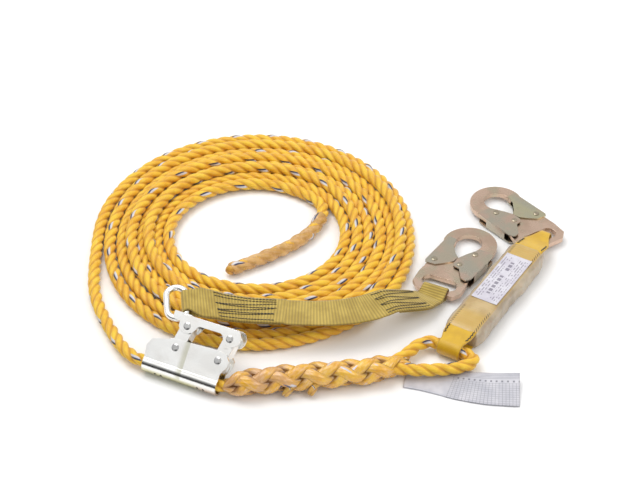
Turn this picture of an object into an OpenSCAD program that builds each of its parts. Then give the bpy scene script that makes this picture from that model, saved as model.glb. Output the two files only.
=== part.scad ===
// Vertical lifeline fall-arrest assembly: a coiled rope with a sliding rope grab and
// webbing lanyard, and a shock absorbing pack between two double-locking snap hooks.
// Millimetres, +Z up, everything at rest on the floor plane z = 0.

/* [Rope] */
// Rope diameter
rope_d = 16; // [12:0.5:19]
// Outer radius of the coil
coil_r_out = 209; // [180:1:240]
// Inner radius of the coil
coil_r_in = 102; // [80:1:130]
// Height of the piled coil
coil_h = 34; // [16:1:48]
// Diameter of the sleeved rope end
sleeve_d = 18; // [16.5:0.5:22]

/* [Snap hooks] */
// Thickness of the hook body plate
hook_t = 6.4; // [5:0.2:9]
// Sheet thickness of the gate and the lock lever
hook_sheet = 1.5; // [1:0.1:2.5]
// Radius of the hook bowl opening
bowl_r = 17; // [14:0.5:19]
// Height of the hook's mid plane over the floor
hook_z = 8.4; // [8:0.1:12]

/* [Rope grab] */
// Outer radius of the half-round trough
trough_r = 12; // [11:0.25:14]
// Sheet thickness of the channel
grab_sheet = 2.3; // [1.5:0.1:3]
// Gap between the side plates, narrower than the trough
grab_gap = 16.8; // [14:0.2:19]
// Lean of the grab's side plates from the floor
grab_tilt = 45; // [20:1:70]

/* [Webbing] */
// Width of the extension lanyard
strap_w = 44; // [38:1:50]
// Thickness of one layer of webbing
web_t = 2.2; // [1.5:0.1:3]
// Width of the absorber's webbing
pack_web_w = 38; // [30:1:44]

/* [Absorber pack] */
// Length of the cover
pack_len = 184; // [150:1:220]
// Width over the cover
pack_w = 48; // [42:1:60]
// Height over the cover
pack_h = 28; // [20:1:36]

/* [Hidden] */
$fn = 48;
eps = 0.01;
rope_r = rope_d / 2;
// Middle of the box of everything but the rope, which becomes the origin
mid_x = 51.8;
mid_y = -106.4;
coil_c = [-84, -2];
grab_p = [-169, -264.3, trough_r];
grab_yaw = -25.8;
cam_a_p = [-8.5, 27];
cam_b_p = [48, 28];
link_v = [6, 28.4];
cam_off = [-4.24, -4.24];
cam_r = 14.2;
ring_p = [-160, -193, 60];
ring_yaw = 6.3;
ring_tilt = 12;
hook1_p = [278, -7, hook_z];
hook1_yaw = 32;
hook2_p = [156, -99, hook_z];
hook2_yaw = -26;
bar_y = -17.5;
gate_p = [-29, 36];
lever_p = [15.5, 64];
lock_p = [5, 38];
pack_p = [171, -202, 0];
pack_yaw = -31.4;
eye_z = 12;
body_d = [cos(grab_yaw), sin(grab_yaw), 0];

// ---- helpers -------------------------------------------------------------

function unit(v) = v / norm(v);

function ahead(p, i) = unit(p[min(i + 1, len(p) - 1)] - p[max(i - 1, 0)]);

// One smooth point between p[i] and p[i + 1], at 0 <= t < 1
function between(p, i, t) =
    let (n = len(p) - 1, a = p[max(i - 1, 0)], b = p[i], c = p[i + 1], d = p[min(i + 2, n)])
    0.5 * (2 * b + (c - a) * t + (2 * a - 5 * b + 4 * c - d) * t * t
        + (3 * b - a - 3 * c + d) * t * t * t);

// A smooth run of points through the route p, m steps a leg
function smooth(p, m) = [
    for (i = [0 : len(p) - 2], k = [0 : m - 1]) between(p, i, k / m),
    p[len(p) - 1],
];

// Ring of n points of radius r around point i of the path
function ring(p, i, r, n) =
    let (t = ahead(p, i), s = unit(cross([0, 0, 1], t)), u = cross(t, s))
    [for (k = [0 : n - 1]) p[i] + r * (cos(360 * k / n) * s + sin(360 * k / n) * u)];

// Flat section of a strap: centre c, width direction w, at right angles to t
function flat(c, w, t, width, thick) =
    let (v = unit(cross(t, w)), a = width / 2 * unit(w), b = thick / 2 * v)
    [c - a - b, c + a - b, c + a + b, c - a + b];

// Closed skin over a list of sections of n points each
module skin(sections, n) {
    last = len(sections) - 1;
    points = [for (s = sections) each s];
    sides = [
        for (i = [0 : last - 1], k = [0 : n - 1])
            let (a = i * n + k, b = i * n + (k + 1) % n)
            each [[a, a + n, b + n], [a, b + n, b]],
    ];
    ends = [[for (k = [0 : n - 1]) k], [for (k = [n - 1 : -1 : 0]) last * n + k]];
    polyhedron(points, concat(sides, ends), convexity = 6);
}

// Round cord of radius r (a number, or one for each point) along the path p
module cord(p, r, n = 10) {
    skin([for (i = [0 : len(p) - 1]) ring(p, i, is_list(r) ? r[i] : r, n)], n);
}

module set_down(p = [0, 0, 0], yaw = 0, tilt = 0) {
    translate([p[0] - mid_x, p[1] - mid_y, p[2]])
        rotate([0, 0, yaw])
            rotate([tilt, 0, 0])
                children();
}

// Plate with its middle on z = 0
module plate(t) {
    translate([0, 0, -t / 2])
        linear_extrude(t)
            children();
}

// Two plates of thickness t either side of a gap
module twin(gap, t) {
    translate([0, 0, gap / 2])
        linear_extrude(t)
            children();
    translate([0, 0, -gap / 2 - t])
        linear_extrude(t)
            children();
}

// Rivet along z: shank of radius r, heads of radius head outside +-half
module rivet(p, r, half, head) {
    rise = 1.1;
    profile = [
        [0, -half - rise], [head * 0.62, -half - rise], [head, -half - rise * 0.35],
        [head, -half], [r, -half], [r, half], [head, half],
        [head, half + rise * 0.35], [head * 0.62, half + rise], [0, half + rise],
    ];
    translate([p[0], p[1], 0])
        rotate_extrude()
            polygon(profile);
}

// ---- rope ----------------------------------------------------------------

lead_route = [
    [-287, -34, 9], [-286, -70, 8.6], [-282, -112, 8.3], [-270, -152, 8.3],
    [-252, -192, 8.4], [-236, -222, 10.5],
];

function on_rope(a) = grab_p + a * body_d;

tail_route = [[2, 66, 11], [4, 50, 10], [1, 34, 9.5]];

sleeve_route = [
    [1, 34, 9.5], [-10, 8, 9.3], [-29, -15, 9.3], [-51, -33, 9.3], [-80, -52, 9.3],
    [-110, -69, 9.3],
];

splice_route = [
    [-116.4, -289.4, 12.3], [-106, -290, 14.5], [-90, -288, 16.2], [-71, -285, 16.8],
    [-48, -281, 17], [-24, -278, 17], [0, -275, 17], [24, -272, 16.8],
    [48, -268, 16.2], [72, -262, 15.2], [90, -254, 14], [99, -250, 13.4],
];

eye_route = [
    [96, -259.4, eye_z], [116, -261, eye_z], [140, -260, eye_z], [162, -257, eye_z],
    [178, -251, eye_z], [184, -242, eye_z], [176, -233, eye_z], [166.5, -227.3, eye_z],
    [157, -221.5, eye_z], [147.5, -215.7, eye_z], [138, -211, eye_z],
    [126, -212, eye_z], [113, -222, eye_z], [103, -234, eye_z], [96, -241.6, eye_z],
];

module lifeline_coil() {
    r0 = coil_r_in;
    r1 = coil_r_out;
    color([0.93, 0.67, 0.08])
        set_down([coil_c[0], coil_c[1], 0])
            rotate_extrude($fn = 96)
                polygon([
                    [r0, 2], [r0 + 4, 0], [r1 - 4, 0], [r1, 3], [r1, 15],
                    [r1 - 16, coil_h], [r0 + 12, coil_h], [r0, 22],
                ]);
}

module lifeline_lead() {
    path = concat(smooth(lead_route, 3), [for (a = [-56, -30, 0, 30, 58]) on_rope(a)]);
    color([0.93, 0.67, 0.08])
        set_down()
            cord(path, rope_r);
}

module lifeline_tail() {
    color([0.93, 0.67, 0.08])
        set_down()
            cord(smooth(tail_route, 2), rope_r);
}

module rope_end_sleeve() {
    color([0.80, 0.56, 0.28])
        set_down()
            cord(smooth(sleeve_route, 2), sleeve_d / 2);
}

module rope_end_tip() {
    color([0.85, 0.83, 0.78])
        set_down()
            cord([[-110, -69, 9.3], [-119, -74, 9.3]], rope_r - 0.8);
}

module eye_splice() {
    radii = [9.1, 12.4, 15.2, 16.3, 16.5, 16.5, 16.5, 16.3, 15.8, 14.8, 13.4, 12.4];
    color([0.90, 0.66, 0.20])
        set_down()
            cord(splice_route, radii, 14);
}

module splice_strand_ends() {
    color([0.90, 0.62, 0.14])
        set_down() {
            cord([[-40, -289, 8], [-45, -301, 5]], 4.2);
            cord([[-13, -287, 8], [-14, -300, 5]], 4.2);
        }
}

module rope_eye() {
    color([0.93, 0.67, 0.08])
        set_down()
            cord(smooth(eye_route, 2), rope_r);
}

// Sheet under the splice, wider and lifting towards its free end
module inspection_tag() {
    stations = [
        [[102, -259, 0.9], 40], [[122, -263, 0.9], 42], [[145, -270, 1.2], 44],
        [[168, -278, 1.7], 46], [[190, -284, 2.8], 47.5], [[214, -287, 4.6], 48.5],
        [[236, -288, 6.6], 49],
    ];
    centres = [for (s = stations) s[0]];
    function rise(i) = let (a = ahead(centres, i)) a[2] / a[0];
    color([0.93, 0.93, 0.92])
        set_down()
            skin([
                for (i = [0 : len(stations) - 1])
                    flat(centres[i], [0, 1, 0], [1, 0, rise(i)], stations[i][1], 0.8)
            ], 4);
}

// ---- rope grab -----------------------------------------------------------

module on_grab() {
    set_down(grab_p, grab_yaw, grab_tilt)
        children();
}

module grab_channel() {
    outline = [
        [-43, 5.1], [-45, 20], [-40, 29], [-10, 37], [44, 40], [56, 38], [62, 31],
        [62, 24], [56, 14], [56, 5.1],
    ];
    color([0.82, 0.83, 0.80])
        on_grab() {
            difference() {
                twin(grab_gap, grab_sheet)
                    polygon(outline);
                for (p = [cam_a_p, cam_b_p])
                    translate([p[0], p[1], -30])
                        cylinder(r = 3, h = 60);
            }
            difference() {
                translate([-43, 0, 0])
                    rotate([0, 90, 0])
                        cylinder(r = trough_r, h = 99, $fn = 64);
                translate([-44, 0, 0])
                    rotate([0, 90, 0])
                        cylinder(r = trough_r - grab_sheet, h = 101, $fn = 64);
                translate([-44, 0, -grab_gap / 2])
                    cube([101, 20, grab_gap]);
                translate([-44, 5.8, -20])
                    cube([101, 20, 40]);
            }
        }
}

module grab_body_rivets() {
    color([0.75, 0.76, 0.76])
        on_grab()
            for (p = [cam_a_p, cam_b_p])
                rivet(p, 3, grab_gap / 2 + grab_sheet, 4.6);
}

// Eccentric cam and link in one, thick enough to fill the channel
module cam(p) {
    w = 8.5;
    t = 16;
    side = [link_v[1], -link_v[0]] / norm(link_v) * w;
    difference() {
        union() {
            translate([p[0] + cam_off[0], p[1] + cam_off[1], -t / 2])
                cylinder(r = cam_r, h = t);
            translate([p[0] + link_v[0], p[1] + link_v[1], -t / 2])
                cylinder(r = w, h = t);
            plate(t)
                polygon([p - side, p + side, p + link_v + side, p + link_v - side]);
        }
        for (q = [p, p + link_v])
            translate([q[0], q[1], -t])
                cylinder(r = 3.06, h = 2 * t);
        translate([p[0] - 40, 0, 0])
            rotate([0, 90, 0])
                cylinder(r = rope_r + 0.6, h = 80);
    }
}

module grab_cam_lower() {
    color([0.78, 0.78, 0.76])
        on_grab()
            cam(cam_a_p);
}

module grab_cam_upper() {
    color([0.78, 0.78, 0.76])
        on_grab()
            cam(cam_b_p);
}

module grab_arm() {
    outline = [
        [-14, 64], [-11, 67], [-6, 68.2], [60, 69], [65, 67], [67.5, 62], [67, 55],
        [64, 49.8], [59, 47.1], [53, 47.3], [48, 50.4], [45.4, 55], [43.6, 58], [41, 59.6],
        [13, 59.2], [10.6, 57.4], [9, 54], [6, 49.6], [1, 46.8], [-5, 46.2],
        [-10, 48.6], [-13, 53],
    ];
    half = grab_gap / 2 + grab_sheet;
    color([0.84, 0.85, 0.83])
        on_grab()
            difference() {
                union() {
                    twin(grab_gap, grab_sheet)
                        polygon(outline);
                    translate([-11, 66, -half + 0.3])
                        cube([65, 2.2, 2 * half - 0.6]);
                }
                for (p = [cam_a_p, cam_b_p])
                    translate([p[0] + link_v[0], p[1] + link_v[1], -30])
                        cylinder(r = 3, h = 60);
            }
}

module grab_arm_rivets() {
    color([0.75, 0.76, 0.76])
        on_grab()
            for (p = [cam_a_p, cam_b_p])
                rivet(p + link_v, 3, grab_gap / 2 + grab_sheet, 4.6);
}

module grab_eye() {
    rod = 4;
    color([0.80, 0.81, 0.80])
        set_down(ring_p, ring_yaw, ring_tilt) {
            for (x = [0, -24])
                translate([x, -11 - eps, 0])
                    rotate([-90, 0, 0])
                        cylinder(r = rod, h = 22 + 2 * eps);
            for (s = [-1, 1])
                translate([-12, s * 11, 0])
                    rotate([0, 0, s > 0 ? 0 : 180])
                        rotate_extrude(angle = 180)
                            translate([12, 0])
                                circle(rod);
        }
    color([0.80, 0.81, 0.80])
        on_grab() {
            translate([-25, 59.5, -4])
                cube([12, 10, 11]);
            translate([-14, 65.4, -4])
                cube([12, 4, 11]);
        }
}

// ---- extension lanyard ---------------------------------------------------

// Loop of webbing round a bar on the z axis, closed end towards -x
module loop(r, t, width, reach) {
    difference() {
        union() {
            translate([0, 0, -width / 2])
                cylinder(r = r + t, h = width);
            plate(width)
                polygon([[1, r + t - 0.6], [reach, t], [reach, -t], [1, 0.6 - r - t]]);
        }
        translate([0, 0, -width])
            cylinder(r = r, h = 2 * width);
        plate(2 * width)
            polygon([[0, r - 0.8], [reach - 5, 0], [0, 0.8 - r]]);
    }
}

strap_stations = [
    [[-144, -191.6, 59.6], [-0.1, 0.97, 0.2], 34, 2],
    [[-135, -188.4, 55], [-0.06, 0.98, 0.14], 38, 2],
    [[-127, -184.4, 45.5], [0.02, 0.99, 0.06], 42, 2],
    [[-119, -181.4, 39], [0.08, 1, 0], 44, 2],
    [[-46, -186.5, 39], [0.08, 1, 0], 44, 2],
    [[-40, -186.9, 38.6], [0.07, 1, 0], 44, 1],
    [[0, -187.8, 38], [-0.02, 1, 0.02], 44, 1],
    [[30, -185, 37.8], [-0.12, 1, 0.05], 44, 1],
    [[56, -178, 37.4], [-0.3, 1, 0.08], 44, 1],
    [[76, -167.6, 36.6], [-0.46, 1, 0.1], 43, 1.1],
    [[86, -161, 35.4], [-0.56, 1, 0.1], 42, 2],
    [[122, -139, 18.6], [-0.6, 1, 0.06], 40, 2],
    [[130, -132.5, 13.4], [-0.74, 0.9, 0.02], 37, 2],
    [[137.5, -127, 9.6], [-1, 0.66, 0], 34, 2],
];

module lanyard_webbing() {
    centres = [for (s = strap_stations) s[0]];
    last = len(centres) - 1;
    color([0.72, 0.64, 0.22])
        set_down()
            skin([
                for (i = [0 : last])
                    let (s = strap_stations[i])
                    flat(s[0], s[1], ahead(centres, i), s[2], s[3] * web_t)
            ], 4);
}

module lanyard_grab_loop() {
    color([0.72, 0.64, 0.22])
        set_down(ring_p, ring_yaw, ring_tilt)
            rotate([-90, 0, 0])
                loop(4.5, web_t, 20, 22);
}

module lanyard_hook_loop() {
    color([0.72, 0.64, 0.22])
        set_down(hook2_p, hook2_yaw)
            translate([-5, bar_y, 0])
                rotate([90, 0, -90])
                    loop(5.7, web_t, 34, 16);
}

// Rows of raised stitches, l long and w wide, with slanted rows across
module stitch_block(l, w) {
    for (y = [-w / 2, -w / 6, w / 6, w / 2])
        translate([-l / 2, y - 0.5, -0.5])
            cube([l, 1, 1]);
    for (k = [0 : 2])
        for (s = [-1, 1])
            translate([0, (k - 1) * w / 3, 0])
                rotate([0, 0, s * atan(w / 3.4 / l)])
                    translate([-l / 2 + 3, -0.4, -0.4])
                        cube([l - 6, 0.8, 0.8]);
}

module lanyard_stitching_grab() {
    color([0.10, 0.09, 0.08])
        set_down([-83, -183.9, 39 + web_t], -4)
            stitch_block(66, 36);
}

module lanyard_stitching_hook() {
    color([0.10, 0.09, 0.08])
        set_down([104, -150, 27 + web_t])
            rotate([0, 0, 31.4])
                rotate([4.5, 21.7, 0])
                    stitch_block(36, 32);
}

// ---- double-locking snap hook --------------------------------------------
// Local frame: +y from the eye to the bowl, +x towards the spine, z = 0 mid plane.

module on_hook(second) {
    if (second)
        set_down(hook2_p, hook2_yaw)
            children();
    else
        set_down(hook1_p, hook1_yaw)
            rotate([0, 180, 0])
                children();
}

module hook_body() {
    slot = [[-2, 33.5], [5, 33], [9.5, 35], [10.5, 42], [4, 43.5], [-1.5, 42]];
    mouth = [
        [14, 88], [12, 72], [2, 55], [-2, 53.6], [-20, 43.4], [-34, 44.4], [-44, 48],
        [-44, 80], [-33, 80], [-20, 79], [-18, 82], [-17.5, 88],
    ];
    eye = [
        [-22, 7], [12, 7], [18, 2], [18, -8], [13, -13], [-23, -13], [-28, -8], [-28, 2],
    ];
    outline = [
        [34.9, 86], [32, 60], [24.5, 22], [27.5, 6], [27, -12], [20, -22],
        [-28, -22], [-38, -12], [-38, 8], [-35, 28], [-20, 40], [0, 46], [8, 86],
    ];
    color([0.66, 0.55, 0.45])
        difference() {
            union() {
                difference() {
                    union() {
                        translate([0, 84, -hook_t / 2])
                            cylinder(r = 35, h = hook_t, $fn = 96);
                        plate(hook_t)
                            polygon(outline);
                    }
                    translate([-2, 86, -10])
                        cylinder(r = bowl_r, h = 20);
                    plate(20)
                        polygon(mouth);
                }
                translate([gate_p[0], gate_p[1], -hook_t / 2])
                    cylinder(r = 7, h = hook_t);
            }
            plate(20)
                polygon(eye);
            plate(20)
                polygon(slot);
            for (p = [gate_p, lever_p])
                translate([p[0], p[1], -10])
                    cylinder(r = 2.5, h = 20);
            translate([22, 42, -10])
                cylinder(r = 3.7, h = 20);
        }
}

module hook_gate() {
    gap = hook_t + 0.3;
    outline = [
        [-31, 87], [-19, 85], [-17.5, 72], [-9, 58], [-3, 52], [-5, 42], [-14, 34],
        [-24, 26.5], [-37.4, 26], [-39.2, 30],
    ];
    color([0.62, 0.60, 0.46])
        difference() {
            union() {
                twin(gap, hook_sheet)
                    polygon(outline);
                plate(gap + 1)
                    polygon([[-32.4, 77], [-38.3, 36], [-36.8, 36], [-30.9, 77]]);
            }
            translate([gate_p[0], gate_p[1], -10])
                cylinder(r = 2.56, h = 20);
        }
}

module hook_gate_rivet() {
    color([0.60, 0.52, 0.40])
        rivet(gate_p, 2.5, hook_t / 2 + 0.15 + hook_sheet + 0.1, 4);
}

module hook_gate_spring() {
    color([0.30, 0.28, 0.22])
        translate([-25.5, 54, -2.9])
            difference() {
                union() {
                    cylinder(r = 4.2, h = 5.8);
                    translate([-8.5, -1, 2])
                        cube([7.5, 12, 1.6]);
                }
                translate([0, 0, -1])
                    cylinder(r = 2.4, h = 8);
            }
}

module hook_lever() {
    gap = hook_t + 0.3 + 2 * hook_sheet + 0.5;
    outline = [
        [31, 77], [17, 76], [6, 61], [-2, 48], [-3, 37], [0, 31.5], [7, 30], [17, 13],
        [23, 11], [29, 17], [35.8, 58], [36.6, 72],
    ];
    color([0.64, 0.58, 0.44])
        difference() {
            union() {
                twin(gap, hook_sheet)
                    polygon(outline);
                plate(gap + 1)
                    polygon([[29.2, 26], [30.4, 25.4], [35.8, 58], [34.6, 58]]);
            }
            translate([lever_p[0], lever_p[1], -10])
                cylinder(r = 2.56, h = 20);
            translate([lock_p[0], lock_p[1], -10])
                cylinder(r = 2, h = 20);
        }
}

module hook_lever_rivet() {
    color([0.60, 0.52, 0.40])
        rivet(lever_p, 2.5, hook_t / 2 + 0.4 + 2 * hook_sheet + 0.1, 4);
}

module hook_lock_pin() {
    color([0.60, 0.52, 0.40])
        rivet(lock_p, 2, hook_t / 2 + 0.4 + 2 * hook_sheet, 3.6);
}

module hook_lever_spring() {
    color([0.30, 0.28, 0.22])
        translate([22, 42, -2.8])
            difference() {
                cylinder(r = 3.4, h = 5.6);
                translate([0, 0, -1])
                    cylinder(r = 1.8, h = 8);
            }
}

module lanyard_hook_body() { on_hook(true) hook_body(); }
module lanyard_hook_gate() { on_hook(true) hook_gate(); }
module lanyard_hook_gate_rivet() { on_hook(true) hook_gate_rivet(); }
module lanyard_hook_gate_spring() { on_hook(true) hook_gate_spring(); }
module lanyard_hook_lever() { on_hook(true) hook_lever(); }
module lanyard_hook_lever_rivet() { on_hook(true) hook_lever_rivet(); }
module lanyard_hook_lock_pin() { on_hook(true) hook_lock_pin(); }
module lanyard_hook_lever_spring() { on_hook(true) hook_lever_spring(); }
module anchor_hook_body() { on_hook(false) hook_body(); }
module anchor_hook_gate() { on_hook(false) hook_gate(); }
module anchor_hook_gate_rivet() { on_hook(false) hook_gate_rivet(); }
module anchor_hook_gate_spring() { on_hook(false) hook_gate_spring(); }
module anchor_hook_lever() { on_hook(false) hook_lever(); }
module anchor_hook_lever_rivet() { on_hook(false) hook_lever_rivet(); }
module anchor_hook_lock_pin() { on_hook(false) hook_lock_pin(); }
module anchor_hook_lever_spring() { on_hook(false) hook_lever_spring(); }

// ---- absorber pack -------------------------------------------------------
// Local frame: +y from the rope eye to the anchor hook, x across, z up.

module on_pack() {
    set_down(pack_p, pack_yaw)
        children();
}

// Upright outline across the pack, corners cut by c
function pack_section(w, lo, hi, c) = [
    [-w / 2 + c, lo], [w / 2 - c, lo], [w / 2, lo + c], [w / 2, hi - c],
    [w / 2 - c, hi], [-w / 2 + c, hi], [-w / 2, hi - c], [-w / 2, lo + c],
];

module along_pack(y0, y1) {
    translate([0, y1, 0])
        rotate([90, 0, 0])
            linear_extrude(y1 - y0)
                children();
}

module pack_core() {
    color([0.80, 0.74, 0.52])
        on_pack()
            along_pack(8, pack_len - 8)
                polygon(pack_section(pack_w - 4, 1.6, 21.6, 3));
}

module pack_cover() {
    color([0.86, 0.80, 0.60])
        on_pack()
            along_pack(0, pack_len)
                difference() {
                    polygon(pack_section(pack_w, 0, pack_h, 4));
                    polygon(pack_section(pack_w - 2.4, 1.2, pack_h - 1.2, 3.6));
                }
}

// Runs out over the hook's eye bar, down through the eye and back under the bar
module pack_hook_loop() {
    run = [
        [[170, 22.6], pack_web_w], [[186, 22.6], pack_web_w], [[198, 19.6], 34],
        [[212, 17.2], 26], [[226, 16.4], 16], [[233, 14.8], 13], [[235.8, 11.5], 13],
        [[236.6, 8], 13], [[235.4, 4.4], 13], [[232, 1.9], 13], [[222, 1.4], 14],
        [[202, 1.4], 18], [[186, 2.6], 24], [[174, 4], 26],
    ];
    path = [for (p = run) [0, p[0][0], p[0][1]]];
    color([0.95, 0.80, 0.05])
        on_pack()
            skin([
                for (i = [0 : len(run) - 1])
                    flat(path[i], [1, 0, 0], ahead(path, i), run[i][1], web_t)
            ], 4);
}

module pack_rope_loop() {
    drop = 22.6;
    color([0.95, 0.80, 0.05])
        on_pack() {
            translate([0, -24, eye_z])
                rotate([90, 0, 90])
                    difference() {
                        plate(24)
                            circle(11.2);
                        plate(30)
                            circle(9);
                    }
            skin([
                flat([0, 14, drop], [1, 0, 0], [0, -1, 0], pack_web_w, 4),
                flat([0, -2, drop], [1, 0, 0], [0, -1, -0.1], pack_web_w, 4.2),
                flat([0, -12, 22], [1, 0, 0], [0, -1, -0.2], 31, 3.4),
                flat([0, -18, 21.2], [1, 0, 0], [0, -1, -0.2], 25, 2.6),
                flat([0, -24, 22.2], [1, 0, 0], [0, -1, 0], 24, 1.8),
            ], 4);
        }
}

module pack_label() {
    color([0.94, 0.94, 0.94])
        on_pack()
            translate([-18, 58, pack_h])
                cube([36, 98, 0.6]);
}

// Short raised stitches down both edges of the loops, just outside the cover
module pack_edge_stitching() {
    color([0.10, 0.09, 0.08])
        on_pack()
            for (x = [-15.5, 15.5])
                for (k = [0 : 4])
                    translate([x, pack_len + 0.5 + 2.6 * k, 24 - 0.62 * k])
                        rotate([0, 0, 35 * (k % 2 == 0 ? 1 : -1)])
                            cube([3, 0.9, 1.6], center = true);
}

lifeline_coil();
lifeline_lead();
lifeline_tail();
rope_end_sleeve();
rope_end_tip();
eye_splice();
splice_strand_ends();
rope_eye();
inspection_tag();
grab_channel();
grab_body_rivets();
grab_cam_lower();
grab_cam_upper();
grab_arm();
grab_arm_rivets();
grab_eye();
lanyard_webbing();
lanyard_grab_loop();
lanyard_hook_loop();
lanyard_stitching_grab();
lanyard_stitching_hook();
lanyard_hook_body();
lanyard_hook_gate();
lanyard_hook_gate_rivet();
lanyard_hook_gate_spring();
lanyard_hook_lever();
lanyard_hook_lever_rivet();
lanyard_hook_lock_pin();
lanyard_hook_lever_spring();
pack_core();
pack_cover();
pack_hook_loop();
pack_rope_loop();
pack_label();
pack_edge_stitching();
anchor_hook_body();
anchor_hook_gate();
anchor_hook_gate_rivet();
anchor_hook_gate_spring();
anchor_hook_lever();
anchor_hook_lever_rivet();
anchor_hook_lock_pin();
anchor_hook_lever_spring();
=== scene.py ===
import math

import bpy
import numpy as np
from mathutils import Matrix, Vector


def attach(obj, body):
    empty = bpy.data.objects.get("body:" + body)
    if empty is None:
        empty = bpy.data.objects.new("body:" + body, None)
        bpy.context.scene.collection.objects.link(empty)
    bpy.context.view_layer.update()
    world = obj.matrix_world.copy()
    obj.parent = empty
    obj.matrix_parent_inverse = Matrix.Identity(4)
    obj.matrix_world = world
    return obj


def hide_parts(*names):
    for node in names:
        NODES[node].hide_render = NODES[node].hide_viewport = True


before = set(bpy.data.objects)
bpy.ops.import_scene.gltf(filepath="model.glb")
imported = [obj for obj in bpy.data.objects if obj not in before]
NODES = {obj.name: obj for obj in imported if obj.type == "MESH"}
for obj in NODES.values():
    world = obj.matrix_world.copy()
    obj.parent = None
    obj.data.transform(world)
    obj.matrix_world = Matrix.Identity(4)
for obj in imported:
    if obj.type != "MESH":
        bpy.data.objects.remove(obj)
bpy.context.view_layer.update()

# Route points are in millimetres from the corner that the part is laid out from.
MIDDLE = np.array([51.8, -106.4, 0.0])
UP = np.array([0.0, 0.0, 1.0])
LAY = 0.050          # length of rope in which a strand goes once round
ROPE = 0.016         # rope diameter
WEB = 0.0021         # one layer of webbing


def place(points):
    """Millimetres in the layout, as metres in the row frame."""
    return (np.asarray(points, float) - MIDDLE) / 1000


def turned(points, at, yaw, tilt=0.0):
    """Points turned by tilt round x, then by yaw round z, and set down at a place, in the layout's
    millimetres."""
    p = np.atleast_2d(np.asarray(points, float))
    c, s = math.cos(math.radians(tilt)), math.sin(math.radians(tilt))
    p = np.c_[p[:, 0], c * p[:, 1] - s * p[:, 2], s * p[:, 1] + c * p[:, 2]]
    c, s = math.cos(math.radians(yaw)), math.sin(math.radians(yaw))
    return np.c_[c * p[:, 0] - s * p[:, 1], s * p[:, 0] + c * p[:, 1], p[:, 2]] + np.asarray(at, float)


# ---- camera, light and floor ----------------------------------------------

def studio():
    """A long-lens camera, a pale floor, two soft lamps and a pale surround that darkens low down in
    front, with a dark flag to the left of the camera and a white board above it."""
    scene = bpy.context.scene
    scene.view_settings.view_transform = "Standard"
    lens = bpy.data.cameras.new("camera")
    lens.sensor_width = 36.0
    lens.lens = 108.2
    lens.clip_start = 0.05
    camera = bpy.data.objects.new("camera", lens)
    aim = Vector(place([0, 0, 0]))
    rise = math.radians(39.0)
    camera.location = aim + 2.5 * Vector((0, -math.cos(rise), math.sin(rise)))
    camera.rotation_euler = (aim - camera.location).to_track_quat("-Z", "Y").to_euler()
    scene.collection.objects.link(camera)
    scene.camera = camera

    for name, spot, size, power in (
        ("overhead_lamp", (-0.6, 0.5, 1.9), 1.4, 20.0),
        ("side_lamp", (1.3, -0.7, 1.5), 1.0, 8.0),
    ):
        lamp = bpy.data.lights.new(name, "AREA")
        lamp.size, lamp.energy = size, power
        holder = bpy.data.objects.new(name, lamp)
        holder.location = spot
        holder.rotation_euler = (-Vector(spot)).to_track_quat("-Z", "Y").to_euler()
        scene.collection.objects.link(holder)

    world = bpy.data.worlds.new("surround")
    scene.world = world
    world.use_nodes = True
    tree = world.node_tree
    tree.nodes.clear()
    sky = Wire.make(tree, "ShaderNodeTexCoord", out="Generated")
    low = sky.axis(2).clamped(-0.05, 0.45)
    front = sky.axis(1).clamped(-0.2, -0.75)
    flag = sky.dot((-0.71, -0.70, 0.065)).clamped(0.780, 0.845)
    board = sky.dot((-0.58, -0.42, 0.70)).clamped(0.90, 0.985)
    shade = (1.0 - 0.70 * front * (1.0 - low)) * (1.0 - 0.95 * flag) + 0.45 * board
    light = Wire.make(tree, "ShaderNodeBackground", {}, {"Color": (1, 1, 1, 1), "Strength": shade * 0.80})
    out = tree.nodes.new("ShaderNodeOutputWorld")
    tree.links.new(light.out, out.inputs[0])

    floor = grid_piece("floor", np.array([[[x, y, -0.0005] for x in (-5, 5)] for y in (-5, 5)], float))
    floor.data.materials.append(plain_floor())


# ---- shader maths ------------------------------------------------------------

class Wire:
    """One socket of a node tree, which takes + - * / with numbers and other wires."""

    def __init__(self, tree, out):
        self.tree, self.out = tree, out

    @staticmethod
    def make(tree, kind, settings=None, inputs=None, out=0):
        """A new node with its settings first, then the values or wires of its sockets; gives one output."""
        node = tree.nodes.new(kind)
        for key, value in (settings or {}).items():
            setattr(node, key, value)
        for key, value in (inputs or {}).items():
            if isinstance(value, Wire):
                tree.links.new(value.out, node.inputs[key])
            else:
                node.inputs[key].default_value = value
        return Wire(tree, node.outputs[out])

    def math(self, operation, *others):
        sockets = dict(enumerate((self, *others)))
        return Wire.make(self.tree, "ShaderNodeMath", {"operation": operation}, sockets)

    def __add__(self, other):
        return self.math("ADD", other)

    def __mul__(self, other):
        return self.math("MULTIPLY", other)

    def __sub__(self, other):
        return self.math("SUBTRACT", other)

    def __rsub__(self, other):
        return Wire.make(self.tree, "ShaderNodeMath", {"operation": "SUBTRACT"}, {0: other, 1: self})

    def __truediv__(self, other):
        return self.math("DIVIDE", other)

    __radd__, __rmul__ = __add__, __mul__

    def clamped(self, low, high):
        """0 at low and below, 1 at high and beyond, smooth between."""
        return Wire.make(self.tree, "ShaderNodeMapRange", {"interpolation_type": "SMOOTHSTEP"},
                         {"Value": self, "From Min": low, "From Max": high})

    def wave(self, turns=1.0):
        """Cosine, from -1 to 1, of this many turns a unit."""
        return (self * (2 * math.pi * turns)).math("COSINE")

    def axis(self, k):
        """One of the three numbers of a vector."""
        return Wire.make(self.tree, "ShaderNodeSeparateXYZ", {}, {0: self}, out=k)

    def dot(self, other):
        """Dot product with another vector."""
        return Wire.make(self.tree, "ShaderNodeVectorMath", {"operation": "DOT_PRODUCT"},
                         {0: self, 1: other}, out="Value")


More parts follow.
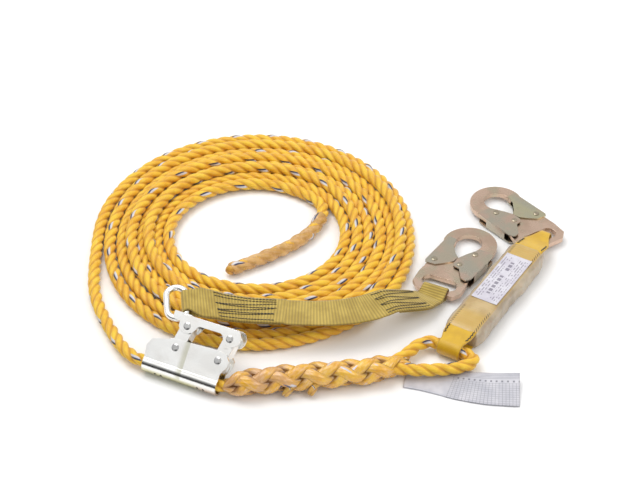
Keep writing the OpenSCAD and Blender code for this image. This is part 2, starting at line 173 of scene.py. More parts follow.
class Paint:
    """A material with its Principled shader and short names for the nodes that this object's finishes
    share."""

    def __init__(self, name, **sockets):
        self.material = bpy.data.materials.new(name)
        self.material.use_nodes = True
        self.tree = self.material.node_tree
        self.shader = self.tree.nodes["Principled BSDF"]
        for key, value in sockets.items():
            self.shader.inputs[key.replace("_", " ").title().replace("Ior", "IOR")].default_value = value

    def node(self, kind, settings=None, inputs=None, out=0):
        return Wire.make(self.tree, kind, settings, inputs, out)

    def spot(self, scale=(1, 1, 1), turn=(0, 0, 0), middle=(0, 0, 0)):
        """Object coordinates moved to a middle, turned and scaled."""
        at = self.node("ShaderNodeTexCoord", out="Object")
        at = self.node("ShaderNodeVectorMath", {"operation": "SUBTRACT"}, {0: at, 1: middle})
        at = self.node("ShaderNodeMapping", {}, {"Vector": at, "Rotation": turn})
        return self.node("ShaderNodeVectorMath", {"operation": "MULTIPLY"}, {0: at, 1: scale})

    def along(self):
        """The two numbers of the piece's own UV map."""
        uv = self.node("ShaderNodeTexCoord", out="UV")
        return uv.axis(0), uv.axis(1)

    def stretch(self, u, v, x, y):
        """A point made of two numbers, each with its own scale."""
        return self.node("ShaderNodeCombineXYZ", {}, {0: u * x, 1: v * y})

    def noise(self, at, scale, detail=3.0, rough=0.55):
        return self.node("ShaderNodeTexNoise", {},
                         {"Vector": at, "Scale": scale, "Detail": detail, "Roughness": rough})

    def mix(self, amount, first, second):
        """first where amount is 0, second where it is 1; both are colours."""
        return self.node("ShaderNodeMix", {"data_type": "RGBA"}, {0: amount, 6: first, 7: second}, out=2)

    def feed(self, **links):
        for key, value in links.items():
            self.tree.links.new(value.out, self.shader.inputs[key.replace("_", " ")])

    def bump(self, height, depth, strength=1.0):
        normal = self.node("ShaderNodeBump", {}, {"Height": height, "Distance": depth, "Strength": strength})
        self.tree.links.new(normal.out, self.shader.inputs["Normal"])


def plain_floor():
    pale = (0.93, 0.93, 0.93, 1)
    return Paint("floor_pale", base_color=pale, roughness=0.9, specular_ior_level=0.1).material


# ---- meshes --------------------------------------------------------------------

def quads(rows, cols, wrap=False):
    """Corner numbers of the quads of a grid of rows by cols points; wrap closes each row on itself."""
    i = np.arange(rows - 1)[:, None]
    j = np.arange(cols if wrap else cols - 1)[None, :]
    k = (j + 1) % cols
    return np.stack([i * cols + j, i * cols + k, (i + 1) * cols + k, (i + 1) * cols + j], -1).reshape(-1, 4)


def end_caps(rows, cols):
    """Corner numbers of the two faces that close the first and the last ring of a tube."""
    return [list(range(cols - 1, -1, -1)), list(range((rows - 1) * cols, rows * cols))]


def piece(name, points, faces, uv=None):
    """A mesh object from points and a list of faces, with one UV pair for each corner of each face."""
    mesh = bpy.data.meshes.new(name)
    mesh.from_pydata(points.tolist(), [], faces)
    mesh.shade_smooth()
    if uv is not None:
        layer = mesh.uv_layers.new(name="UVMap")
        layer.data.foreach_set("uv", np.asarray(uv, np.float32).ravel())
    made = bpy.data.objects.new(name, mesh)
    bpy.context.scene.collection.objects.link(made)
    return made


def grid_piece(name, grid, uv=None):
    """An open sheet over a grid of points."""
    rows, cols = grid.shape[:2]
    faces = quads(rows, cols)
    corners = None if uv is None else uv.reshape(-1, 2)[faces].reshape(-1, 2)
    return piece(name, grid.reshape(-1, 3), faces.tolist(), corners)


def tube_piece(name, rings, u, v):
    """A closed skin over rings of points, each ring going from the side towards the top; u (one more than
    a ring's points) and v give the UV."""
    rows, cols = rings.shape[:2]
    faces = quads(rows, cols, wrap=True)
    i, j = np.divmod(np.arange((rows - 1) * cols), cols)
    corner_u = np.stack([u[j], u[j + 1], u[j + 1], u[j]], -1)
    corner_v = np.stack([v[i], v[i], v[i + 1], v[i + 1]], -1)
    uv = np.stack([corner_u, corner_v], -1).reshape(-1, 2)
    first = np.c_[u[:cols][::-1], np.full(cols, v[0])]
    last = np.c_[u[:cols], np.full(cols, v[-1])]
    faces = faces.tolist() + end_caps(rows, cols)
    return piece(name, rings.reshape(-1, 3), faces, np.vstack([uv, first, last]))


def rings_round(line, side, top, x, y):
    """Rings of points round a line: x along its side and y along its top, added to each of its points."""
    return line[:, None] + x[..., None] * side[:, None] + y[..., None] * top[:, None]


def gather(made, name):
    """Several finished mesh objects of one kind, as one piece."""
    points, faces, uvs = [], [], []
    start = 0
    for o in made:
        co = np.zeros(len(o.data.vertices) * 3)
        o.data.vertices.foreach_get("co", co)
        points.append(co.reshape(-1, 3))
        faces += [[v + start for v in f.vertices] for f in o.data.polygons]
        uv = np.zeros(len(o.data.loops) * 2)
        o.data.uv_layers[0].data.foreach_get("uv", uv)
        uvs.append(uv)
        start += len(o.data.vertices)
        bpy.data.objects.remove(o)
    return piece(name, np.concatenate(points), faces, np.concatenate(uvs))


def travelled(line):
    """Length of the way from a line's first point to each of its points."""
    return np.r_[0, np.cumsum(np.linalg.norm(np.diff(line, axis=0), axis=1))]


def sampled(at, s, values):
    """The rows of values, known at lengths s, at other lengths."""
    return np.stack([np.interp(at, s, values[:, k]) for k in range(values.shape[1])], 1)


def catmull(a, b, c, d, t):
    """The cubic that goes from b to c as t goes from 0 to 1, with slopes (c - a) / 2 and (d - b) / 2."""
    return 0.5 * (2 * b + (c - a) * t + (2 * a - 5 * b + 4 * c - d) * t ** 2
                  + (3 * b - a - 3 * c + d) * t ** 3)


def curve(points, step):
    """A smooth line through the points (Catmull-Rom), resampled to an even step, and the length of the way
    to each new point."""
    p = np.asarray(points, float)
    p = np.vstack([2 * p[0] - p[1], p, 2 * p[-1] - p[-2]])
    t = np.linspace(0, 1, 16, endpoint=False)[:, None, None]
    q = catmull(p[:-3], p[1:-2], p[2:-1], p[3:], t)
    q = np.vstack([q.transpose(1, 0, 2).reshape(-1, p.shape[1]), p[-2:-1]])
    s = travelled(q[:, :3])
    even = np.linspace(0, s[-1], int(round(s[-1] / step)) + 1)
    return sampled(even, s, q), even


def ahead(line):
    """Unit direction of travel at each point of a line."""
    d = np.gradient(line, axis=0)
    return d / np.linalg.norm(d, axis=1, keepdims=True)


def unit(v):
    return v / np.linalg.norm(v, axis=-1, keepdims=True)


def frames(line, wide=None):
    """Side and top directions across a line; the side is level, or the part of wide at a right angle to it."""
    t = ahead(line)
    side = unit(np.cross(UP, t)) if wide is None else unit(wide - t * (wide * t).sum(1, keepdims=True))
    return side, np.cross(t, side)


# ---- rope ------------------------------------------------------------------------

# Radius of each turn of the coil to the left, away, right and near, then its height there
TURNS = np.array([
    [203, 212, 197, 209, 8, 8, 8, 8],
    [187, 196, 188, 192, 20, 22, 20, 10],
    [171, 180, 179, 174, 8, 8, 8, 20],
    [157, 165, 163, 158, 22, 22, 20, 8],
    [147, 150, 147, 143, 8, 8, 8, 20],
    [138, 138, 133, 127, 22, 22, 20, 8],
    [127, 125, 118, 108, 8, 8, 8, 20],
    [113, 112, 108, 108, 20, 18, 12, 12],
], float)
COIL = np.array([-84.0, -2.0])

# Routes of the rope through its eye, the splice, the grab's place, the way to the coil and the end
EYE = [[76, -254, 14.5], [90, -246, 13], [103, -234, 12], [113, -222, 12], [126, -212, 12], [138, -211, 12],
       [147.5, -215.7, 12], [157, -221.5, 12], [166.5, -227.3, 12], [176, -233, 12], [184, -242, 12],
       [178, -251, 12], [162, -257, 12], [140, -260, 12], [116, -261, 12.4], [96, -260, 13.2]]
SPLICE = [[72, -262, 15.2], [48, -268, 16.2], [24, -272, 16.8], [0, -275, 17], [-24, -278, 17],
          [-48, -281, 17], [-71, -285, 16.8], [-90, -288, 16.2]]
GRAB_AT, GRAB_YAW, GRAB_LEAN = [-169, -264.3, 12], -25.8, 45
LEAD = [[-236, -222, 10.5], [-252, -192, 8.4], [-270, -152, 8.3], [-282, -112, 8.3], [-286, -70, 8.6],
        [-287, -34, 8.3]]
TAIL = [[2, 66, 11], [4, 50, 10], [1, 34, 9.5], [-10, 8, 9.3], [-29, -15, 9.3], [-51, -33, 9.3],
        [-80, -52, 9.3], [-110, -69, 9.3]]


def coil_route(step=10.0, end=7 * 360 + 140):
    """The coil as a spiral: at each angle, radius and height follow a smooth line through the four values
    of each turn."""
    angle = np.arange(0, end, step)
    keys = np.stack([TURNS[:, :4].ravel(), TURNS[:, 4:].ravel()], 1)
    i = np.minimum((angle // 90).astype(int), len(keys) - 2)
    t = ((angle - i * 90) / 90)[:, None]
    following = keys[np.minimum(i + 2, len(keys) - 1)]
    radius, height = catmull(keys[np.maximum(i - 1, 0)], keys[i], keys[i + 1], following, t).T
    facing = np.radians(180 - angle)
    return np.c_[COIL[0] + radius * np.cos(facing), COIL[1] + radius * np.sin(facing), height]


def settled(line, loose, rounds=90, gap=15.6, sink=0.12, lowest=8.0):
    """The rope laid down: each round, loose points sink, points closer than the gap push each other apart,
    mostly upwards, and the drift from the first line is smoothed; nothing goes below the lowest height."""
    count = len(line)
    rest, p = line.copy(), line.copy()
    # Pairs of points that can meet: not neighbours along the rope, and near each other from the start
    i, j = np.triu_indices(count, 6)
    near = np.linalg.norm(rest[i] - rest[j], axis=1) < 34
    i, j = i[near], j[near]
    share = np.array([0.35, 0.35, 1.0])
    for _ in range(rounds):
        p[:, 2] -= sink * loose
        apart = p[i] - p[j]
        far = np.linalg.norm(apart, axis=1) + 1e-9
        push = np.where(far < gap, (gap - far) / far * 0.5, 0.0)[:, None] * apart * share
        hits = np.maximum(np.bincount(i, far < gap, count) + np.bincount(j, far < gap, count), 1.0)
        for k in range(3):
            move = np.bincount(i, push[:, k], count) - np.bincount(j, push[:, k], count)
            p[:, k] += 1.3 * move / hits * loose
        drift = p - rest
        drift[1:-1] = 0.4 * drift[1:-1] + 0.3 * (drift[:-2] + drift[2:])
        p += (rest + drift - p) * loose[:, None]
        p[:, 2] = np.where(loose > 0, np.maximum(p[:, 2], lowest), p[:, 2])
    return p


def lobes(turn):
    """Radius of a three-strand rope, as a share of its own, at an angle in turns: 1 on each strand's
    crown, falling as a power to the groove."""
    off = np.abs((turn * 3 + 0.5) % 1 - 0.5) * 2
    return 1 - 0.34 * off ** 2.0


def laid(name, line, radius, columns=27, depth=1.0, start=0.0):
    """A laid rope: rings round the line whose points turn once in each lay, so mesh lines follow the
    strands; ring radius times the three lobes."""
    s = travelled(line) + start
    side, top = frames(line)
    share = np.arange(columns) / columns
    turn = 2 * np.pi * (share[None, :] + s[:, None] / LAY)
    wide = (1 - depth * (1 - lobes(share)))[None, :] * np.broadcast_to(radius, len(line))[:, None]
    rings = rings_round(line, side, top, wide * np.cos(turn), wide * np.sin(turn))
    return tube_piece(name, rings, np.arange(columns + 1) / columns, s / LAY)


def fibres(p, u, v, yarns):
    """Height of the yarns: a cosine of the angle that follows the lay, broken by a fine stretched noise."""
    fine = p.noise(p.stretch(u + v, v, 60.0, 5.0), 1.0, 2.0)
    return (u + v).wave(yarns) * 0.5 + fine * 1.2


def tracer(u, v, wander):
    """Where the marker yarns show, and which of them is navy: on the crown of one strand, along a line
    that wanders slowly round the upper side of the rope."""
    crown = u.wave().clamped(0.58, 0.72)
    side = u + v - 0.25 - 0.22 * (v * wander).wave() - 0.10 * (v * wander * 2.7 + 0.3).wave()
    return crown * side.wave().clamped(0.935, 0.965), (side + 0.25).wave().clamped(-0.03, 0.10)


def rope_paint(name, tan=0.0, wander=0.031, gloss=0.42, coat=0.0):
    """Golden laid rope: two yellows by a soft noise, painted shade darkening the grooves between the strands,
    pale worn crowns, and the marker yarns half white, half navy."""
    p = Paint(name, roughness=gloss, coat_weight=coat, coat_roughness=0.2, sheen_weight=0.25,
              sheen_roughness=0.4)
    u, v = p.along()
    broad = p.noise(p.spot(), 55.0).clamped(0.35, 0.68)
    yellow = p.mix(broad, (0.80, 0.41, 0.008, 1), (0.90, 0.58, 0.030, 1))
    streak = p.noise(p.stretch(u + v, v, 42.0, 2.5), 1.0, 2.0).clamped(0.45, 0.75)
    yellow = p.mix(streak * 0.5, yellow, (0.95, 0.64, 0.14, 1))
    # Painted shade: the grooves between the three strands are darkened towards a deep brown.
    groove = (u * 3.0).wave().clamped(-0.30, -1.05)
    yellow = p.mix(groove * 0.6, yellow, (0.52, 0.19, 0.006, 1))
    if tan:
        pale = p.noise(p.spot(), 90.0).clamped(0.35, 0.7)
        yellow = p.mix(tan, yellow, p.mix(pale, (0.47, 0.235, 0.045, 1), (0.66, 0.38, 0.14, 1)))
    mark, navy = tracer(u, v, wander)
    yellow = p.mix(mark, yellow, p.mix(navy, (0.66, 0.64, 0.66, 1), (0.018, 0.022, 0.075, 1)))
    p.feed(Base_Color=yellow, Roughness=gloss + 0.16 * (broad - 0.5))
    p.bump(fibres(p, u, v, 27), 0.00035, 0.7)
    return p.material


def splice_paint():
    """Tucked strands: amber and tan patches that turn to rope yellow towards the eye, painted highlights as
    pale pinkish-tan streaks, painted shade on the strands' sides, a glossy coat, and bits of the marker yarns."""
    p = Paint("splice_amber", roughness=0.24, coat_weight=0.9, coat_roughness=0.07, sheen_weight=0.0)
    u, v = p.along()
    east = p.spot().axis(0)
    patch = p.noise(p.spot(), 62.0, 3.0).clamped(0.40, 0.60)
    amber = p.mix(patch, (0.78, 0.40, 0.020, 1), (0.60, 0.31, 0.120, 1))
    gold = p.mix(p.noise(p.spot(), 70.0).clamped(0.35, 0.7), (0.76, 0.36, 0.010, 1), (0.88, 0.53, 0.040, 1))
    tint = p.mix(east.clamped(-0.12, -0.01) * 0.85 + 0.15 * patch, amber, gold)
    # Painted highlight: pale pinkish-tan streaks laid along the strands by a noise stand in for their glints.
    streak = p.noise(p.stretch(u, v, 16.0, 3.0), 1.0, 2.0).clamped(0.48, 0.72)
    tint = p.mix(streak * 0.40, tint, (0.84, 0.58, 0.36, 1))
    # Painted shade: each strand is darkened where its surface turns away from the outside, down its sides and
    # under the strands that cross it.
    hollow_shade = (u - 0.25).wave().clamped(0.75, -0.05)
    tint = p.mix(hollow_shade * 0.85, tint, (0.20, 0.070, 0.006, 1))
    bits = p.noise(p.stretch(u, v, 4.0, 1.0), 1.0, 1.0).clamped(0.62, 0.66)
    bits = bits * (u - 0.25).wave().clamped(0.72, 0.86)
    dark = (u * 4.0 + 0.3).wave().clamped(0.5, 0.8)
    tint = p.mix(bits, tint, p.mix(dark, (0.66, 0.63, 0.66, 1), (0.06, 0.06, 0.14, 1)))
    p.feed(Base_Color=tint)
    yarn = (u + v * 0.35).wave(9) * 0.5 + p.noise(p.stretch(u, v, 30.0, 6.0), 1.0, 2.0)
    p.bump(yarn + p.noise(p.spot(), 210.0, 2.0) * 2.2, 0.0007, 0.7)
    return p.material


def lifeline():
    """The lifeline: one rope from its eye through the splice and the grab into the coil, with its end in a
    sleeve. The eye, the splice, the grab's stretch and the end stay on their routes; the coil settles."""
    step, end = 7.0, 190.0
    grab = turned([[x, 0, 0] for x in (52, 30, 0, -30, -56)], GRAB_AT, GRAB_YAW)
    first, _ = curve(np.vstack([EYE, SPLICE, grab, LEAD]), step)
    coarse, along = curve(np.vstack([EYE, SPLICE, grab, LEAD, coil_route(), TAIL]), step)
    start, stop = len(first) * step, along[-1] - end
    loose = np.clip((along - start + 30) / 60, 0, 1) * np.clip((stop - along + 20) / 50, 0, 1)
    line, _ = curve(place(settled(coarse, loose)), 0.003)
    rope = laid("lifeline_rope", line, ROPE / 2)
    rope.data.materials.append(rope_paint("rope_golden"))
    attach(rope, "lifeline")
    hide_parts("lifeline_coil", "lifeline_lead", "lifeline_tail", "rope_eye")

    # The sleeve is a thin film shrunk on the rope's end, with a crumpled mouth.
    tail, s = curve(place(TAIL[1:] + [[-113, -70.8, 9.3]]), 0.002)
    mouth = 8
    tail, s = tail[mouth:], s[mouth:] - s[mouth]
    snug = (0.0088 + 0.0007 * np.sin(s * 190) * np.sin(s * 73)
            + 0.0012 * np.exp(-s / 0.004) - 0.0012 * np.exp((s - s[-1]) / 0.004))
    sleeve = laid("end_sleeve", tail, snug, depth=0.8, start=0.011)
    sleeve.data.materials.append(rope_paint("sleeve_amber", tan=0.85, wander=0.4, gloss=0.28, coat=0.7))
    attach(sleeve, "lifeline")
    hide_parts("rope_end_sleeve")

    tip_line = place(np.array([[-110, -69, 9.3]]) + np.linspace(0, 1, 10)[:, None] * np.array([[-9, -5, 0]]))
    blunt = 0.0072 * np.sqrt(np.clip(1 - np.linspace(0, 0.96, 10) ** 3, 0.05, 1))
    tip = laid("rope_tip", tip_line, blunt, start=0.02)
    tip.data.materials.append(rope_paint("tip_pale", tan=0.55, wander=1.0, gloss=0.5))
    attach(tip, "lifeline")
    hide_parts("rope_end_tip")

    braid = splice()
    ends = strand_ends()


def splice():
    """Six strands round the rope, three with the lay and three against it; each strand's distance from the
    middle rises and falls as a cosine, so that they pass over and under by turns. It is thin at both ends."""
    pitch = 0.116
    before = [[107, -247, 12.0], [97, -251, 13.2], [86, -256, 14.4]]
    after = [[-104, -290, 14.6], [-116, -289.6, 12.4]]
    line, s = curve(place(before + SPLICE + after), 0.0018)
    side, top = frames(line)
    share = s / s[-1]
    swell = np.clip(share / 0.16, 0.02, 1) ** 0.7 * np.clip((1 - share) / 0.10, 0, 1) ** 0.7
    a = 2 * np.pi * np.arange(16) / 16
    fat = (0.0007 + 0.0061 * swell)[:, None]
    flat, tall = fat * 1.12 * np.cos(a), fat * 0.98 * np.sin(a)
    made = []
    for hand in (1, -1):
        for k in range(3):
            turn = hand * 2 * np.pi * s / pitch + 2 * np.pi * k / 3 + 0.5
            weave = hand * np.cos(6 * np.pi * s / pitch)
            reach = 0.0030 + 0.0052 * swell + 0.0021 * weave * swell
            middle = line + (reach * np.cos(turn))[:, None] * side + (reach * np.sin(turn))[:, None] * top
            out = unit(middle - line)
            across = unit(np.cross(out, ahead(middle)))
            rings = rings_round(middle, across, out, flat, tall)
            made.append(tube_piece("splice_strands", rings, np.arange(17) / 16, s / 0.03 + k * 0.37))
    braid = gather(made, "splice_braid")
    braid.data.materials.append(splice_paint())
    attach(braid, "lifeline")
    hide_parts("eye_splice")
    return braid


def strand_ends():
    """Two cut strand ends that stick out of the splice, each a short laid cone, broad at the splice, on a
    line that rises in the middle as a sine."""
    t = np.linspace(0, 1, 14)
    rise = np.sin(np.pi * t)[:, None] * [0, 0, 2.0]
    radius = 0.0078 * (1 - 0.50 * t) * np.where(t > 0.99, 0.7, 1.0)
    made = []
    for a, b in (([-31, -284, 12], [-42, -298.5, 5.0]), ([-4, -282, 12], [-12, -297, 5.0])):
        line = place(np.array(a) * (1 - t[:, None]) + np.array(b) * t[:, None] + rise)
        made.append(laid("strand_end", line, radius, columns=18))
    ends = gather(made, "splice_tails")
    ends.data.materials.append(rope_paint("strand_cut", tan=0.6, wander=1.7, gloss=0.34, coat=0.4))
    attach(ends, "lifeline")
    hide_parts("splice_strand_ends")
    return ends


# ---- webbing -----------------------------------------------------------------------

def ribbon(name, line, wide, width, thick, rib=0.0, pitch=0.0037, columns=22):
    """A strap: a flat section with rounded edges carried along the line; its faces rise and fall as a cosine
    of the length (the ribs), less towards the edges."""
    s = travelled(line)
    side, top = frames(line, wide)
    a = np.linspace(-1, 1, columns)
    ribs = rib * (np.cos(2 * np.pi * s / pitch)[:, None] - 1) * np.clip((1 - np.abs(a)) * 12, 0, 1)[None]
    x = np.concatenate([a[::-1], a]) * (width[:, None] / 2)
    up = np.concatenate([thick / 2 + ribs, -(thick / 2 + ribs)], 1)
    up[:, [0, columns - 1]] = thick * 0.28
    up[:, [columns, -1]] = -thick * 0.28
    across = np.concatenate([a[::-1], a, a[-1:]]) * 0.5 + 0.5
    return tube_piece(name, rings_round(line, side, top, x, up), across, s)


def webbing_paint(name, dull, bright, dark, ribs=270.0, gloss=0.62, grain=1.0):
    """Woven webbing: colour between two yellows by a soft noise, thread columns along the strap and picks
    across it in colour and bump, darker selvedges."""
    p = Paint(name, roughness=gloss, sheen_weight=0.3, sheen_roughness=0.5)
    u, v = p.along()
    soft = p.noise(p.spot(), 60.0).clamped(0.33, 0.7)
    tint = p.mix(soft, dull, bright)
    threads = u.wave(30) * 0.5 + 0.5
    picks = v.wave(ribs) * 0.5 + 0.5
    tint = p.mix((1.0 - picks) * 0.42 * grain + (1.0 - threads) * 0.10 * grain, tint, dark)
    selvedge = (u - 0.5).math("ABSOLUTE").clamped(0.455, 0.495)
    tint = p.mix(selvedge * 0.35, tint, dark)
    p.feed(Base_Color=tint, Roughness=gloss + 0.1 * (soft - 0.5))
    hairs = p.noise(p.stretch(u, v, 44.0, 900.0), 1.0, 2.0)
    p.bump(picks * 0.8 + threads * 0.5 + hairs * 0.5, 0.00022 * grain, 0.8)
    return p.material


def thread_paint():
    p = Paint("thread_black", base_color=(0.012, 0.011, 0.011, 1), roughness=0.55, sheen_weight=0.2)
    twist = p.noise(p.spot(), 2600.0, 2.0)
    p.feed(Base_Color=p.mix(twist.clamped(0.4, 0.7), (0.010, 0.009, 0.009, 1), (0.045, 0.040, 0.036, 1)))
    p.bump(twist, 0.0002, 0.6)
    return p.material


def stitches(name, middles, heads, tops, length=0.0041, fat=0.00055, count=6):
    """Sewn thread: at each middle a small spindle whose radius follows a sine from end to end, half sunk in
    the webbing; count is its number of sides and of rings."""
    t = np.linspace(0, 1, count)
    a = 2 * np.pi * np.arange(count) / count
    radius = fat * (0.45 + 0.55 * np.sin(np.pi * t))
    side = unit(np.cross(tops, heads))
    forth = ((t - 0.5)[:, None] * length)[..., None] * heads[:, None, None]
    aside = (radius[:, None] * np.cos(a)[None])[..., None] * side[:, None, None]
    lift = (np.sin(np.pi * t) * fat * 0.55)[:, None] + radius[:, None] * np.sin(a)[None]
    points = middles[:, None, None] + forth + aside + lift[..., None] * tops[:, None, None]
    shift = (np.arange(len(middles)) * count ** 2)[:, None, None]
    sides = (quads(count, count, wrap=True)[None] + shift).reshape(-1, 4)
    caps = (np.array(end_caps(count, count))[None] + shift).reshape(-1, count)
    return piece(name, points.reshape(-1, 3), sides.tolist() + caps.tolist())


def sewn_rows(line, wide, width, lift, start, stop, rows, pitch=0.0042):
    """Middles, directions and tops of the stitches of straight rows on a strap; a row goes from one place
    across it to another, as shares of half the width."""
    s = travelled(line)
    side, top = frames(line, wide)
    middles, heads, tops = [], [], []
    for k, (a, b) in enumerate(rows):
        at = np.arange(start + 0.0007 * k, stop, pitch)
        across = a + (b - a) * (at - start) / (stop - start)
        half = np.interp(at, s, width) / 2
        tall = sampled(at, s, top)
        mid = sampled(at, s, line) + (across * half)[:, None] * sampled(at, s, side) + lift * tall
        middles.append(mid)
        heads.append(unit(np.gradient(mid, axis=0)))
        tops.append(unit(tall))
    return np.vstack(middles), np.vstack(heads), np.vstack(tops)


# The strap's middle, the direction across it, its width and its layers, at places along it
STRAP = [
    ([-144, -191.4, 58.4], [-0.1, 0.97, 0.2], 43, 2), ([-134, -189.4, 54.4], [-0.06, 0.98, 0.14], 44, 2),
    ([-125, -187.8, 50.8], [-0.02, 0.99, 0.09], 44, 2), ([-112, -186.0, 45.6], [0.03, 1, 0.04], 44, 2),
    ([-84, -184.4, 39.6], [0.07, 1, 0], 44, 2), ([-46, -186.5, 39], [0.08, 1, 0], 44, 2),
    ([-38, -187, 38.4], [0.07, 1, 0], 44, 1), ([0, -187.8, 38], [-0.02, 1, 0.02], 44, 1),
    ([30, -185, 37.8], [-0.12, 1, 0.05], 44, 1), ([56, -178, 37.4], [-0.3, 1, 0.08], 44, 1),
    ([76, -167.6, 36.4], [-0.46, 1, 0.1], 43, 1), ([88, -160.2, 33.6], [-0.56, 1, 0.1], 42, 2),
    ([119, -142, 19.4], [-0.78, 1, 0.06], 41, 2), ([130, -132.5, 13.4], [-0.98, 0.9, 0.02], 38, 2),
    ([137, -125.4, 9.6], [-1, 0.64, 0], 35, 2),
]


def lanyard(thread):
    """The extension lanyard: one strap that starts under itself, goes round the grab's eye, along, round the
    hook's bar and back under itself, with a sewn block at each end."""
    at = np.array([s[0] for s in STRAP], float)
    wide = unit(np.array([s[1] for s in STRAP], float))
    width = np.array([s[2] for s in STRAP], float)
    layers = np.array([s[3] for s in STRAP], float)
    normal = unit(np.cross(ahead(at), wide))
    # Half the distance between two layers, in millimetres
    half = 1.12
    over = at + normal * (half * (layers > 1))[:, None]
    under = at - normal * half
    # The ways round the grab's ring and round the hook's bar
    a = np.radians([-60, -100, -140, 180, 140, 100, 60])
    ring = turned(np.c_[5.8 * np.cos(a), 0 * a, 5.8 * np.sin(a)], [-160, -193, 60], 6.3, 12)
    ring_wide = unit(turned([[0, 1, 0]], [0, 0, 0], 6.3, 12))
    b = np.radians([10, 50, 90, 130, 170])
    bar = turned(np.c_[0 * b - 5, -17.5 + 6.9 * np.sin(b), 6.9 * np.cos(b)], [156, -99, 8.4], -26)
    bar_wide = unit(turned([[-1, 0, 0]], [0, 0, 0], -26))
    lower, upper = np.c_[under, wide, width], np.c_[over, wide, width]
    rows = np.vstack([
        lower[5::-1],
        np.c_[ring, np.tile([*ring_wide[0], 30], (len(ring), 1))],
        upper,
        np.c_[bar, np.tile([*bar_wide[0], 33], (len(bar), 1))],
        lower[14:10:-1],
    ])
    rows[:, :3] = place(rows[:, :3])
    # The width direction keeps its sense round both ends, so the strap turns over without a twist.
    run, s = curve(rows, 0.00062)
    line, wide_run, width_run = run[:, :3], unit(run[:, 3:6]), run[:, 6] / 1000
    strap = ribbon("lanyard_strap", line, wide_run, width_run, WEB, rib=0.00016)
    khaki = webbing_paint("webbing_khaki", (0.43, 0.295, 0.034, 1), (0.58, 0.42, 0.078, 1),
                          (0.12, 0.072, 0.007, 1))
    strap.data.materials.append(khaki)
    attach(strap, "lanyard")
    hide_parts("lanyard_webbing", "lanyard_grab_loop", "lanyard_hook_loop")
    print(f"strap length {s[-1]:.3f} m")

    def nearest(point, allowed):
        """Length along the strap at its nearest allowed place to a point."""
        return s[np.argmin(np.where(allowed, np.linalg.norm(line - place(point), axis=1), np.inf))]

    first = nearest([-122, -185.8, 47.5], s >= 0.12)
    second = nearest([84, -162, 36.6], s <= 0.48)
    grab_rows = [(0.84, 0.84), (0.62, 0.66), (0.1, 0.5), (0.08, 0.16), (-0.36, 0.12), (-0.40, -0.30),
                 (-0.62, -0.34), (-0.84, -0.84)]
    hook_rows = [(0.80, 0.80), (0.42, 0.72), (0.34, 0.10), (-0.10, 0.06), (-0.16, -0.52), (-0.62, -0.56),
                 (-0.82, -0.82)]
    for name, start, stop, across in (
        ("lanyard_stitching_grab", first - 0.006, first + 0.068, grab_rows),
        ("lanyard_stitching_hook", second - 0.014, second + 0.050, hook_rows),
    ):
        m, h, t = sewn_rows(line, wide_run, width_run, WEB / 2 + 0.0001, start, stop, across)
        seam = stitches(name.replace("stitching", "seam"), m, h, t)
        seam.data.materials.append(thread)
        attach(seam, "lanyard")
        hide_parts(name)


# ---- absorber pack -------------------------------------------------------------------

PACK_AT, PACK_YAW, PACK_LONG = [171, -202, 0], -31.4, 184.0


def in_pack(points):
    return place(turned(points, PACK_AT, PACK_YAW))


def cover_top(y):
    """Height of the cover's top along the pack: full in the middle, pinched at both ends."""
    end = np.clip(np.minimum(y, PACK_LONG - y) / 16.0, 0, 1)
    return 24.6 + 3.2 * np.sqrt(end * (2 - end))


def cover():
    """The heat-shrunk cover: a flat-topped round section (a superellipse) carried along the pack; it narrows
    at both ends, and folds are added as sines of the length and of the angle that die out on top."""
    neck, aside = 22, 0.06
    y = np.r_[np.linspace(0, neck, 34), np.linspace(neck, PACK_LONG - neck, 150)[1:-1],
              np.linspace(PACK_LONG - neck, PACK_LONG, 34)]
    a = 2 * np.pi * np.arange(96) / 96
    end = np.clip(np.minimum(y, PACK_LONG - y) / 18.0, 0, 1)
    full = np.sqrt(end * (2 - end))
    half_wide = 20.5 + 4.3 * full + 0.7 * np.sin(y / 17.0) * full
    high = cover_top(y)
    low = 0.7 * (1 - full)
    c, s = np.cos(a), np.sin(a)
    x = np.sign(c) * np.abs(c) ** 0.42
    z = np.sign(s) * np.abs(s) ** 0.42
    rng = np.random.default_rng(7)
    fold = np.zeros((len(y), len(a)))
    for _ in range(14):
        along, around = rng.uniform(0.05, 0.45), rng.integers(1, 6)
        phase, amount = rng.uniform(0, 6.3), rng.uniform(0.1, 0.34)
        fold += amount * np.sin(along * y[:, None] + around * a[None] + phase)
    fold *= 0.25 + 0.75 * np.abs(c)[None] ** 2
    pleats = 0.5 * (1 - full)[:, None] * np.sin(a * 15 + 0.6 * np.sin(a * 4))[None]
    wide = half_wide[:, None] * x[None] + (fold + pleats - 0.7) * c[None]
    middle = ((high + low) / 2)[:, None]
    tall = ((high - low) / 2)[:, None] * z[None] + (0.35 * fold + 0.4 * pleats - 0.25) * s[None]
    dip = -0.5 * np.exp(-((y - 40) / 9) ** 2)[:, None] * (s > 0)[None]
    long = np.broadcast_to(y[:, None], wide.shape)
    # The rings go the other way round, so that the faces point outwards.
    rings = np.stack([wide, long, np.maximum(middle + tall + dip, 0.25)], -1)[:, ::-1]
    # The film's UV map is its place on top in metres; the sides are put aside, past the edges of the top.
    flat_x = wide[:, ::-1] / 1000
    uv_x = np.where(s[::-1] > 0, flat_x, np.sign(flat_x) * aside)
    rows, cols = wide.shape
    faces = quads(rows, cols, wrap=True)
    uv = np.stack([uv_x.ravel()[faces], long.ravel()[faces] / 1000], -1).reshape(-1, 2)
    caps = np.c_[np.full(2 * cols, aside), np.repeat([0.0, PACK_LONG / 1000], cols)]
    made = piece("pack_film", in_pack(rings.reshape(-1, 3)), faces.tolist() + end_caps(rows, cols),
                 np.concatenate([uv, caps]))
    made.data.materials.append(film_paint())
    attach(made, "pack")
    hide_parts("pack_cover", "pack_core")


